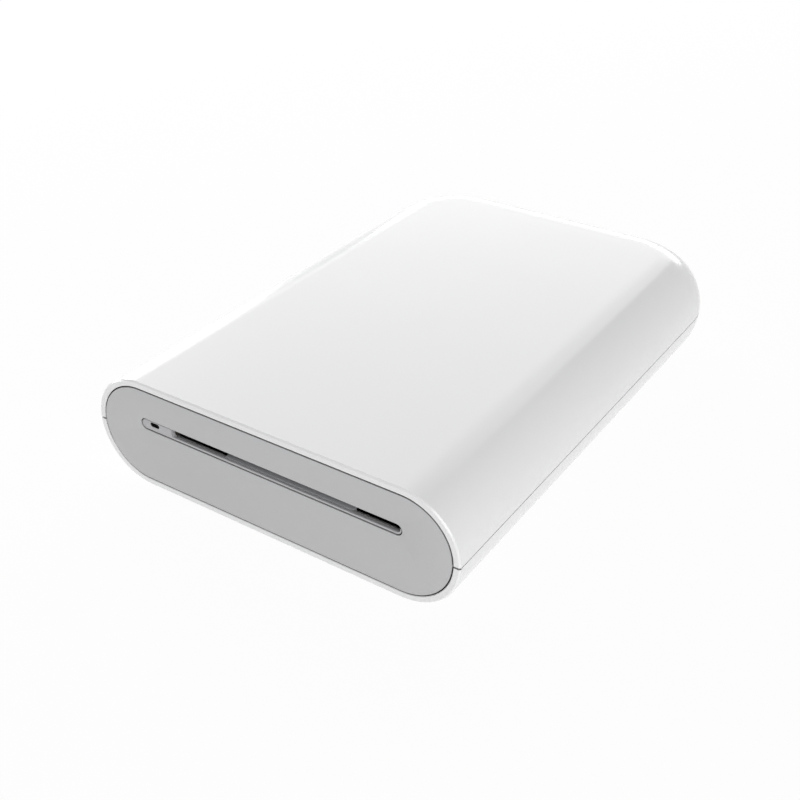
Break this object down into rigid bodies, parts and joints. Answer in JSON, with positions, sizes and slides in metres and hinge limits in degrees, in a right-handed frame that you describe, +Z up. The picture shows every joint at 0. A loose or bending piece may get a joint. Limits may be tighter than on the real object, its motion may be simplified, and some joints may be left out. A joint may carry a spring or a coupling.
{
  "type": "compact photo printer",
  "caption": "Pocket photo printer with a half-round white case, a grey front panel with a paper slot, and a hinged top cover over its paper tray and roller drive.",
  "frame": {"origin": "centre of the footprint, on the surface that the feet stand on", "axes": "+X to the right seen from the slot, +Y from the slot to the rear, +Z up"},
  "size_m": [0.084, 0.124, 0.0245],
  "materials": {
    "shell_white": "moulded gloss ABS",
    "foot_rubber": "moulded silicone rubber",
    "panel_grey": "fine moulded texture",
    "liner_grey": "smooth moulded",
    "lens_smoke": "smoked polycarbonate",
    "board_green": "solder mask",
    "sheet_steel": "zinc-plated sheet",
    "turned_steel": "turned and nickel-plated",
    "spring_wire": "drawn wire",
    "bush_bronze": "sintered bronze",
    "guide_grey": "moulded",
    "guide_black": "moulded",
    "tray_grey": "fine moulded texture",
    "motor_can": "drawn steel can",
    "cell_pouch": "laminated pouch",
    "lead_red": "silicone insulation",
    "magnet_nickel": "nickel-plated",
    "cable_amber": "polyimide film",
    "pad_cork": "cork rubber",
    "roller_rubber": "ground rubber",
    "gear_acetal": "moulded acetal",
    "head_ceramic": "glazed alumina",
    "sink_aluminium": "extruded"
  },
  "bodies": {
    "base": {"bottom_case": "shell_white", "rubber_feet": "foot_rubber", "front_panel": "panel_grey", "slot_liner": "liner_grey", "status_lens": "lens_smoke", "indicator_board": "board_green", "roller_frame": "sheet_steel", "spring_bridge": "sheet_steel", "tie_rod": "turned_steel", "shaft_bushes": "bush_bronze", "exit_guide": "guide_grey", "upper_guide": "guide_black", "paper_tray": "tray_grey", "gear_studs": "turned_steel", "feed_motor": "motor_can", "motor_screws": "turned_steel", "battery_pack": "cell_pouch", "battery_lead": "lead_red", "main_board": "board_green", "board_chips": "guide_black", "usb_socket": "sheet_steel", "power_switch": "guide_black", "deck_screws": "turned_steel", "frame_screws": "turned_steel", "hinge_pin": "turned_steel", "case_magnets": "magnet_nickel", "paper_sensor": "guide_black", "head_cable": "cable_amber"},
    "cover": {"top_cover": "shell_white", "cover_magnets": "magnet_nickel", "plate_pin": "turned_steel", "plate_springs": "spring_wire"},
    "stack_plate": {"pressure_plate": "guide_black", "friction_pad": "pad_cork"},
    "platen": {"platen_shaft": "turned_steel", "platen_rubber": "roller_rubber", "platen_gear": "gear_acetal"},
    "pick_roller": {"pick_shaft": "turned_steel", "pick_tyres": "roller_rubber", "pick_gear": "gear_acetal"},
    "exit_roller": {"exit_shaft": "turned_steel", "exit_tyres": "roller_rubber", "exit_gear": "gear_acetal"},
    "front_idler_gear": {"front_idler": "gear_acetal"},
    "rear_idler_gear": {"rear_idler": "gear_acetal"},
    "reduction": {"reduction_gear": "gear_acetal"},
    "rotor": {"motor_shaft": "turned_steel", "motor_pinion": "bush_bronze"},
    "pinch_roller": {"pinch_shaft": "turned_steel", "pinch_sleeves": "gear_acetal"},
    "head": {"print_head": "head_ceramic", "heat_sink": "sink_aluminium", "head_springs": "spring_wire"},
    "button": {"power_button": "shell_white", "switch_plunger": "gear_acetal"}
  },
  "joints": [
    {"name": "cover_hinge", "type": "hinge", "parent": "base", "child": "cover", "pos_m": [0, 0.0606, 0.0125], "axis": [-1, 0, 0], "range_deg": [0, 85]},
    {"name": "plate_pivot", "type": "hinge", "parent": "cover", "child": "stack_plate", "pos_m": [0.0038, 0.0015, 0.0197], "axis": [-1, 0, 0], "range_deg": [0, 6], "stiffness_Nm_per_rad": 0.02, "springref_deg": -11.46, "deforming": ["plate_springs"]},
    {"name": "platen_turn", "type": "hinge", "parent": "base", "child": "platen", "pos_m": [0, -0.039, 0.0118], "axis": [1, 0, 0], "continuous": true},
    {"name": "pick_turn", "type": "hinge", "parent": "base", "child": "pick_roller", "pos_m": [0, -0.02, 0.0089], "axis": [1, 0, 0], "continuous": true},
    {"name": "exit_turn", "type": "hinge", "parent": "base", "child": "exit_roller", "pos_m": [0, -0.052, 0.0126], "axis": [1, 0, 0], "continuous": true},
    {"name": "front_idler_turn", "type": "hinge", "parent": "base", "child": "front_idler_gear", "pos_m": [0, -0.04662, 0.00702], "axis": [1, 0, 0], "continuous": true},
    {"name": "rear_idler_turn", "type": "hinge", "parent": "base", "child": "rear_idler_gear", "pos_m": [0, -0.029, 0.01194], "axis": [1, 0, 0], "continuous": true},
    {"name": "reduction_turn", "type": "hinge", "parent": "base", "child": "reduction", "pos_m": [0, -0.01269, 0.01324], "axis": [1, 0, 0], "continuous": true},
    {"name": "motor_turn", "type": "hinge", "parent": "base", "child": "rotor", "pos_m": [0, -0.006, 0.0065], "axis": [1, 0, 0], "continuous": true},
    {"name": "pinch_turn", "type": "hinge", "parent": "base", "child": "pinch_roller", "pos_m": [0, -0.052, 0.01808], "axis": [1, 0, 0], "continuous": true},
    {"name": "head_pivot", "type": "hinge", "parent": "base", "child": "head", "pos_m": [0, -0.0319, 0.0176], "axis": [-1, 0, 0], "range_deg": [0, 2.2], "stiffness_Nm_per_rad": 0.05, "springref_deg": -17.19},
    {"name": "button_press", "type": "slide", "parent": "base", "child": "button", "axis": [0, -1, 0], "range_m": [0, 0.0004], "stiffness_N_per_m": 300, "springref_m": -0.0002}
  ],
  "couplings": [
    {"joint": "pick_turn", "follows": "platen_turn", "ratio": 1.0909},
    {"joint": "exit_turn", "follows": "platen_turn", "ratio": 1.2632},
    {"joint": "front_idler_turn", "follows": "platen_turn", "ratio": -2},
    {"joint": "rear_idler_turn", "follows": "platen_turn", "ratio": -1.5},
    {"joint": "reduction_turn", "follows": "platen_turn", "ratio": -2},
    {"joint": "motor_turn", "follows": "platen_turn", "ratio": 5.6},
    {"joint": "pinch_turn", "follows": "platen_turn", "ratio": -1.7225}
  ]
}
